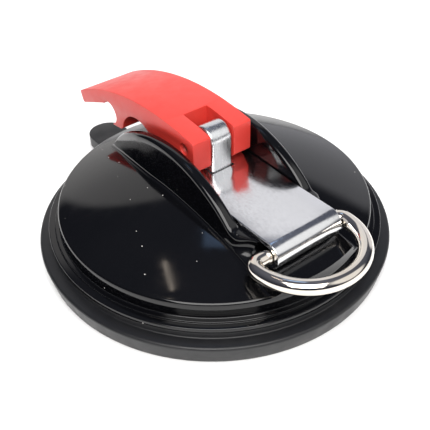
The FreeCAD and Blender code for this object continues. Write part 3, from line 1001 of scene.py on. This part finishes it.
    def pulled(self, x: float, y: float) -> float:
        """Bend the front stations so that the prow follows the cover's round wall.

        Args:
            x: A point's distance from the middle.
            y: Its station along the saddle.

        Returns:
            The point's place along Y.
        """
        if y >= self.lip_y:
            return y
        radius = self.wall - 0.05
        front = -math.sqrt(radius ** 2 - min(abs(x), self.foot_half + 0.5) ** 2)
        part = (y - self.lip_y) / (-self.wall - self.lip_y)
        return self.lip_y + part * (front - self.lip_y)

    def room_mesh(self) -> Mesh:
        """Build the hollow under the cover, less its ribs, tube and screw bosses.

        Returns:
            The hollow's mesh.
        """
        line = Outline(Plane.SECTION, 0.0, self.foot_z - 1.0)
        line.line(self.inner_wall, self.foot_z - 1.0).line(self.inner_wall, self.rim_z - 1.5)
        line.arc(0.0, self.apex - self.shell, self.sphere, Turn.LEFT, 20)
        room = line.revolve(96)
        roof = self.places.floor - self.roof
        core = block((-self.core_half, self.core_front, self.rib_low),
                     (self.core_half, self.core_back, roof))
        standing: List[Tuple[Join, Mesh]] = [(Join.ADD, core)]
        hub = rod(self.hub, self.hub_height, (0.0, 0.0, 14.55), segments=72)
        for index in range(4):
            rib = block((-self.rib_reach, -self.rib_half, self.rib_low),
                        (self.rib_reach, self.rib_half, 42.0))
            turn = Matrix.Rotation(math.radians(22.5 + 45.0 * index), 3, "Z")
            bmesh.ops.rotate(rib, verts=rib.verts[:], cent=Vector(), matrix=turn)
            standing.append((Join.CUT, rib))
        standing.append((Join.ADD, hub))
        for side in (-self.screw_x, self.screw_x):
            standing.append((Join.CUT, rod(self.screw_boss, 12.0, (side, self.screw_y, 22.0))))
        standing.append((Join.CUT, rod(self.tube, 12.0, (0.0, 0.0, 23.6), segments=72)))
        bore = rod(self.tube_bore, 13.0, (0.0, 0.0, roof - 6.5), segments=72)
        standing.append((Join.ADD, bore))
        return combine(room, *standing)

    def build(self, gloss: Material) -> None:
        """Build and dress the cover.

        Args:
            gloss: The cover's material.
        """
        places = self.places
        trough = rod(self.trough, 2.0 * self.foot_half + 1.0, (0.0, places.curl_y, places.curl_z),
                     "X", 96)
        window = block((-self.window_x, -self.window_y, 20.0),
                       (self.window_x, self.window_y, 32.0))
        bm = combine(self.shell_mesh(), (Join.ADD, self.saddle_mesh()), (Join.CUT, trough),
                     (Join.CUT, self.room_mesh()), (Join.CUT, window))
        finish_piece("cover_moulding", bm, Dress(gloss, "cover_abs", "base", ("cover",)), 30.0)


# --- tie plate


@dataclass
class TiePlate:
    """The chromed plate under the lever, curled at its front round the ring's bar."""

    places: Places
    thickness: float = 1.8
    curl_end: float = 335.0
    window_x: float = 4.4
    window_y: float = 5.2
    edge: float = 0.28
    rise: float = 0.3
    rise_from: float = -31.0

    def mesh(self) -> Mesh:
        """Build the plate from its side outline.

        Returns:
            The plate's mesh.
        """
        here = self.places
        outer, inner = here.curl_outer, here.curl_outer - self.thickness
        y, z = here.curl_y, here.curl_z + self.rise
        turn = math.radians(self.curl_end)
        line = Outline(Plane.SIDE, here.plate_back, here.floor + 0.02)
        line.line(here.plate_back, here.plate_top).line(self.rise_from, here.plate_top, 4)
        line.line(y, z + outer, 3)
        line.arc(y - outer, z, outer, Turn.LEFT, 12).arc(y, z - outer, outer, Turn.LEFT, 12)
        line.arc(y + outer * math.cos(turn), z + outer * math.sin(turn), outer, Turn.LEFT, 9)
        line.line(y + inner * math.cos(turn), z + inner * math.sin(turn))
        line.arc(y, z - inner, inner, Turn.RIGHT, 9).arc(y - inner, z, inner, Turn.RIGHT, 12)
        line.arc(y, z + inner, inner, Turn.RIGHT, 12)
        line.line(self.rise_from, here.floor + 0.02).close()
        plate = line.slab(2.0 * here.plate_half)
        window = block((-self.window_x, -self.window_y, 20.0), (self.window_x, self.window_y, 40.0))
        return combine(plate, (Join.CUT, window))

    def build(self, chrome: Material) -> None:
        """Build and dress the plate.

        Args:
            chrome: The plate's material.
        """
        bm = self.mesh()
        soften(bm, self.edge, 3, 50.0)
        finish_piece("tie_plate_curled", bm, Dress(chrome, "plate_chrome", "base", ("tie_plate",)))


# --- lashing ring


@dataclass
class LashingRing:
    """A D of round wire whose straight bar turns in the plate's curl."""

    places: Places
    wire: float = 2.4
    half: float = 17.8
    corner: float = 3.0
    tilt: float = -2.0
    slack: float = -1.5

    def mesh(self) -> Mesh:
        """Build the ring by sweeping one round section along half of it, then mirroring.

        Returns:
            The ring's mesh.
        """
        bm = bmesh.new()
        bmesh.ops.create_circle(bm, cap_ends=False, segments=32, radius=self.wire)
        bmesh.ops.rotate(bm, verts=bm.verts[:], cent=Vector(),
                         matrix=Matrix.Rotation(math.pi / 2.0, 3, "Y"))
        straight = self.half - self.corner
        ends = bm.edges[:]
        for _ in range(6):
            made = bmesh.ops.extrude_edge_only(bm, edges=ends)
            moved = [item for item in made["geom"] if isinstance(item, Point)]
            bmesh.ops.translate(bm, verts=moved, vec=(straight / 6.0, 0.0, 0.0))
            ends = [item for item in made["geom"] if isinstance(item, Edge)
                    and item.verts[0] in moved and item.verts[1] in moved]
        ends = self.swept(bm, ends, (straight, -self.corner, 0.0), 12)
        self.swept(bm, ends, (0.0, -self.corner, 0.0), 48)
        bmesh.ops.mirror(bm, geom=bm.verts[:] + bm.edges[:] + bm.faces[:], axis="X",
                         merge_dist=0.01, matrix=Matrix.Identity(4))
        tidy(bm, 0.01)
        turn = Matrix.Rotation(math.radians(self.tilt), 3, "X")
        bmesh.ops.rotate(bm, verts=bm.verts[:], cent=Vector(), matrix=turn)
        bmesh.ops.translate(bm, verts=bm.verts[:],
                            vec=(self.slack, self.places.curl_y, self.places.curl_z))
        return bm

    def swept(self, bm: Mesh, ends: List[Edge],
              centre: Sequence[float], steps: int) -> List[Edge]:
        """Sweep the open end a quarter turn.

        Args:
            bm: The ring's mesh.
            ends: The edges of its open end.
            centre: Centre of the bend.
            steps: How many steps it has.

        Returns:
            The edges of the new open end.
        """
        around = list({vert for edge in ends for vert in edge.verts})
        made = bmesh.ops.spin(bm, geom=around + ends, cent=centre, axis=Vector((0, 0, 1)),
                              angle=-math.pi / 2.0, space=Matrix.Identity(4), steps=steps)
        return [item for item in made["geom_last"] if isinstance(item, Edge)]

    def build(self, nickel: Material) -> None:
        """Build and dress the ring.

        Args:
            nickel: The ring's material.
        """
        finish_piece("lashing_ring", self.mesh(), Dress(nickel, "ring_nickel", "ring", ("d_ring",)),
                     60.0)


# --- lever and stem


@dataclass
class CamLever:
    """The red thumb lever, forked over the stem's eye and turning on a pressed pin."""

    places: Places
    half: float = 11.5
    front: float = -5.0
    front_top: float = 43.6
    top_radius: float = 112.0
    slot_half: float = 4.65
    slot_back: float = 9.2
    edge: float = 0.55

    def mesh(self) -> Mesh:
        """Build the lever from its side outline and cut the fork's slot.

        Returns:
            The lever's mesh.
        """
        pin = self.places.pin_z
        line = Outline(Plane.SIDE, self.front, pin - 6.3)
        line.arc(1.91, pin - 9.6, 8.2, Turn.LEFT, 10).line(7.6, pin - 9.6, 2)
        line.round(9.5, pin - 9.6, 19.4, 35.2, 3.0, 5)
        line.line(18.4, 34.5).arc(20.0, 35.3, 4.0, Turn.RIGHT, 3)
        line.arc(37.2, 29.0, 11.0, Turn.RIGHT, 18)
        line.round(38.6, 27.9, 43.8, 27.2, 0.8, 3).round(43.8, 27.2, 44.6, 29.0, 0.5, 3)
        line.arc(41.16, 31.0, 4.4, Turn.RIGHT, 6)
        line.arc(49.2, 33.6, 4.4, Turn.RIGHT, 14)
        line.round(50.2, 33.3, 65.2, 26.8, 0.8, 3).round(65.2, 26.8, 66.8, 31.2, 0.9, 4)
        line.round(66.8, 31.2, 61.0, 34.4, 0.9, 4)
        line.arc(self.front + 0.6, self.front_top + 0.05, self.top_radius, Turn.LEFT, 40)
        line.arc(self.front, self.front_top - 0.6, 0.62, Turn.LEFT, 4)
        line.line(self.front, pin - 2.0, 3).close()
        bm = line.slab(2.0 * self.half)
        slot = block((-self.slot_half, -20.0, 10.0), (self.slot_half, self.slot_back, 60.0))
        bore = rod(2.0, 2.0 * self.half + 2.0, (0.0, 0.0, pin), "X", 40)
        bm = combine(bm, (Join.CUT, slot), (Join.CUT, bore))
        soften(bm, self.edge, 3, 40.0)
        return tidy(bm)

    def pin_mesh(self) -> Mesh:
        """Build the pin with eased ends.

        Returns:
            The pin's mesh.
        """
        bm = rod(1.98, 2.0 * self.places.pin_reach, (0.0, 0.0, self.places.pin_z), "X", 40)
        soften(bm, 0.35, 2, 50.0)
        return bm

    def build(self, red: Material, steel: Material) -> None:
        """Build and dress the lever and its pin.

        Args:
            red: The lever's material.
            steel: The pin's material.
        """
        finish_piece("cam_lever", self.mesh(), Dress(red, "lever_red", "lever", ("lever",)), 30.0)
        finish_piece("pivot_pin", self.pin_mesh(), Dress(steel, "pin_steel", "lever", ("lever_pin",)))


@dataclass
class DrawStem:
    """The flat-sided stem with its round eye, and the spring that pushes it back down."""

    places: Places
    half: float = 4.1
    eye: float = 4.9
    shoulder: float = 12.5
    tail: float = 4.0
    tail_end: float = 6.8
    coil: float = 9.0
    coil_wire: float = 0.75
    turns: float = 2.25

    def mesh(self) -> Mesh:
        """Build the stem from its side outline with a turned tail.

        Returns:
            The stem's mesh.
        """
        pin = self.places.pin_z
        line = Outline(Plane.SIDE, -self.eye, self.shoulder)
        line.line(self.eye, self.shoulder).line(self.eye, pin, 3)
        line.arc(0.0, pin + self.eye, self.eye, Turn.LEFT, 14)
        line.arc(-self.eye, pin, self.eye, Turn.LEFT, 14).close()
        bar = line.slab(2.0 * self.half)
        soften(bar, 0.9, 4, 50.0)
        tail = rod(self.tail, self.shoulder - self.tail_end + 0.5,
                   (0.0, 0.0, (self.shoulder + self.tail_end + 0.5) / 2.0))
        bore = rod(2.05, 2.0 * self.half + 2.0, (0.0, 0.0, pin), "X", 40)
        return combine(bar, (Join.ADD, tail), (Join.CUT, bore))

    def spring_mesh(self) -> Mesh:
        """Build the return spring by sweeping a round section up a helix.

        Returns:
            The spring's mesh.
        """
        low = self.places.spring_low + self.coil_wire
        high = self.places.spring_high - self.coil_wire
        bm = bmesh.new()
        bmesh.ops.create_circle(bm, cap_ends=True, segments=16, radius=self.coil_wire)
        bmesh.ops.rotate(bm, verts=bm.verts[:], cent=Vector(),
                         matrix=Matrix.Rotation(math.pi / 2.0, 3, "X"))
        bmesh.ops.translate(bm, verts=bm.verts[:], vec=(self.coil, 0.0, low))
        steps = int(self.turns * 48)
        bmesh.ops.spin(bm, geom=bm.verts[:] + bm.edges[:] + bm.faces[:], cent=Vector(),
                       axis=Vector((0, 0, 1)), dvec=Vector((0, 0, (high - low) / steps)),
                       angle=math.tau * self.turns, space=Matrix.Identity(4), steps=steps)
        return tidy(bm)

    def build(self, chrome: Material, spring: Material) -> None:
        """Build and dress the stem and its spring.

        Args:
            chrome: The stem's material.
            spring: The spring's material.
        """
        finish_piece("stem_bar", self.mesh(), Dress(chrome, "stem_chrome", "stem", ("draw_stem",)))

        def stretch(piece: Piece) -> None:
            """Let the spring lengthen between the cover and the stem's washer."""
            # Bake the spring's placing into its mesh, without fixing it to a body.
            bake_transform(piece)

        finish_piece("return_coil", self.spring_mesh(),
                     Dress(spring, "spring_steel", "base", ("return_spring",)), settle=stretch)


# --- studio


@dataclass(frozen=True)
class Wall:
    """A bright round part of the room's background."""

    azimuth: float
    height: float
    reach: float
    blur: float
    colour: Colour

    def towards(self) -> Vector:
        """Return the direction of its middle."""
        turn, rise = math.radians(self.azimuth), math.radians(self.height)
        return Vector((math.sin(turn) * math.cos(rise), -math.cos(turn) * math.cos(rise),
                       math.sin(rise)))


@dataclass(frozen=True)
class Lamp:
    """A soft rectangular light."""

    name: str
    place: Tuple[float, float, float]
    size: Pair
    power: float
    colour: Colour
    along: Tuple[float, float, float] = (0.0, 0.0, 1.0)
    in_gloss: bool = True
    in_diffuse: bool = True


@dataclass
class Studio:
    """A pale floor, a bright horizon under a dark ceiling, soft lights and the camera."""

    azimuth: float = -37.3
    pitch: float = 39.534
    roll: float = -0.021
    place: Tuple[float, float, float] = (-0.113757, -0.149606, 0.162044)
    lens: float = 58.605
    walls: Tuple[Wall, ...] = (
        Wall(156.0, 24.6, 22.5, 1.6, (0.9, 0.88, 0.88)),
        Wall(116.0, 4.0, 27.0, 3.0, (0.85, 0.85, 0.9)),
        Wall(167.0, -4.0, 26.0, 6.0, (1.0, 0.98, 0.97)),
        Wall(138.0, 38.0, 13.0, 3.0, (0.85, 0.85, 0.88)),
        Wall(37.0, 36.0, 25.0, 6.0, (1.0, 1.0, 1.0)),
    )
    lamps: Tuple[Lamp, ...] = (
        Lamp("key_soft", (-0.45, -0.6, 0.95), (1.0, 1.0), 17.0, (1.0, 0.985, 0.96)),
        Lamp("top_soft", (0.0, 0.1, 1.3), (1.5, 1.5), 16.0, (1.0, 0.99, 0.98), in_gloss=False,
             along=(0.0, 1.0, 0.0)),
        Lamp("window_warm", (-0.121, 0.272, 1.007), (0.022, 0.2), 0.09, (1.0, 0.86, 0.72),
             along=(0.0987, 0.222, 0.0), in_diffuse=False),
        Lamp("window_cool", (0.25, 0.30, 1.0), (0.16, 0.16), 0.12, (0.4, 0.62, 1.0),
             in_diffuse=False),
    )

    def camera(self) -> None:
        """Place the camera."""
        turn, pitch = math.radians(self.azimuth), math.radians(self.pitch)
        right = Vector((math.cos(turn), math.sin(turn), 0.0))
        ahead = Vector((-math.sin(turn) * math.cos(pitch), math.cos(turn) * math.cos(pitch),
                        -math.sin(pitch)))
        up = right.cross(ahead)
        across = right * math.cos(self.roll) + up * math.sin(self.roll)
        upward = up * math.cos(self.roll) - right * math.sin(self.roll)
        data = bpy.data.cameras.new("camera")
        data.lens = self.lens
        data.clip_start = 0.01
        made = bpy.data.objects.new("camera", data)
        basis = Matrix((across, upward, -ahead)).transposed().to_4x4()
        made.matrix_world = Matrix.Translation(self.place) @ basis
        bpy.context.scene.collection.objects.link(made)
        bpy.context.scene.camera = made

    def floor(self) -> None:
        """Lay a wide pale floor."""
        bm = bmesh.new()
        bmesh.ops.create_grid(bm, x_segments=2, y_segments=2, size=4.0)
        bmesh.ops.translate(bm, verts=bm.verts[:], vec=(0.0, 0.0, -0.00005))
        piece = as_object("floor", bm)
        shader = Shader("floor_paper")
        tone = shader.mix(shader.noise(3.0, 2.0), (0.93, 0.93, 0.93), (0.9, 0.9, 0.9))
        shader.link(tone, shader.surface.inputs["Base Color"])
        shader.set(Roughness=0.9, Specular_IOR_Level=0.1)
        piece.data.materials.append(shader.material)

    def sky(self) -> None:
        """Give the room a dim ceiling and a few bright walls low down."""
        world = bpy.data.worlds.new("studio")
        bpy.context.scene.world = world
        world.use_nodes = True
        tree = world.node_tree
        place = tree.nodes.new("ShaderNodeTexCoord").outputs["Generated"]
        split = tree.nodes.new("ShaderNodeSeparateXYZ")
        tree.links.new(place, split.inputs["Vector"])
        ceiling = tree.nodes.new("ShaderNodeValToRGB")
        tree.links.new(split.outputs["Z"], ceiling.inputs["Fac"])
        stops = ceiling.color_ramp
        stops.elements[0].position, stops.elements[0].color = 0.25, (0.03, 0.034, 0.05, 1.0)
        stops.elements[1].position, stops.elements[1].color = 1.0, (0.13, 0.14, 0.18, 1.0)
        shade = ceiling.outputs["Color"]
        for wall in self.walls:
            facing = tree.nodes.new("ShaderNodeVectorMath")
            facing.operation = "DOT_PRODUCT"
            facing.inputs[1].default_value = wall.towards()
            tree.links.new(place, facing.inputs[0])
            edge = tree.nodes.new("ShaderNodeMapRange")
            edge.interpolation_type = "SMOOTHSTEP"
            edge.inputs["From Min"].default_value = math.cos(math.radians(wall.reach + wall.blur))
            edge.inputs["From Max"].default_value = math.cos(math.radians(wall.reach - wall.blur))
            tree.links.new(facing.outputs["Value"], edge.inputs["Value"])
            lay = tree.nodes.new("ShaderNodeMix")
            lay.data_type = "RGBA"
            tree.links.new(edge.outputs["Result"], lay.inputs["Factor"])
            tree.links.new(shade, lay.inputs["A"])
            lay.inputs["B"].default_value = (*wall.colour, 1.0)
            shade = lay.outputs["Result"]
        tree.links.new(shade, tree.nodes["Background"].inputs["Color"])

    def lamp(self, lamp: Lamp) -> None:
        """Hang a soft light that faces the anchor.

        Args:
            lamp: The light to hang.
        """
        data = bpy.data.lights.new(lamp.name, "AREA")
        data.shape = "RECTANGLE"
        data.size, data.size_y = lamp.size
        data.energy = lamp.power
        data.color = lamp.colour
        made = bpy.data.objects.new(lamp.name, data)
        out = Vector(lamp.place).normalized()
        along = Vector(lamp.along) - out * out.dot(Vector(lamp.along))
        along.normalize()
        basis = Matrix((along.cross(out), along, out)).transposed().to_4x4()
        made.matrix_world = Matrix.Translation(lamp.place) @ basis
        made.visible_glossy = lamp.in_gloss
        made.visible_diffuse = lamp.in_diffuse
        bpy.context.scene.collection.objects.link(made)

    def build(self) -> None:
        """Set up the whole studio."""
        self.camera()
        self.floor()
        self.sky()
        bpy.context.scene.view_settings.view_transform = "Standard"
        for lamp in self.lamps:
            self.lamp(lamp)


# --- assembly


def dress_frame_nodes(steel: Material) -> None:
    """Give the frame nodes that stay in view their own finishes.

    Args:
        steel: What the anchor, the washer and the screws are made of.
    """
    finishes = {"stem_guide": NYLON.make()}
    for node in ("anchor_plate", "anchor_nut", "spring_washer", "plate_screw_left",
                 "plate_screw_right"):
        finishes[node] = steel
    for node, material in finishes.items():
        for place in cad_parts[node].material_slots:
            place.material = material
        LOG.info("%-18s kept with %s", node, material.name)


def main() -> None:
    """Build every piece in order."""
    logging.basicConfig(level=logging.INFO, format="%(message)s")
    places = Places().read()
    steel = BARE_STEEL.make()
    SuctionPad().build(RUBBER.make())
    Cover(places).build(BLACK_GLOSS.make())
    TiePlate(places).build(PLATE_CHROME.make())
    LashingRing(places).build(NICKEL.make())
    DrawStem(places).build(STEM_CHROME.make(), SPRING_STEEL.make())
    CamLever(places).build(SIGNAL_RED.make(), steel)
    dress_frame_nodes(steel)
    Studio().build()


if __name__ == "__main__":
    main()
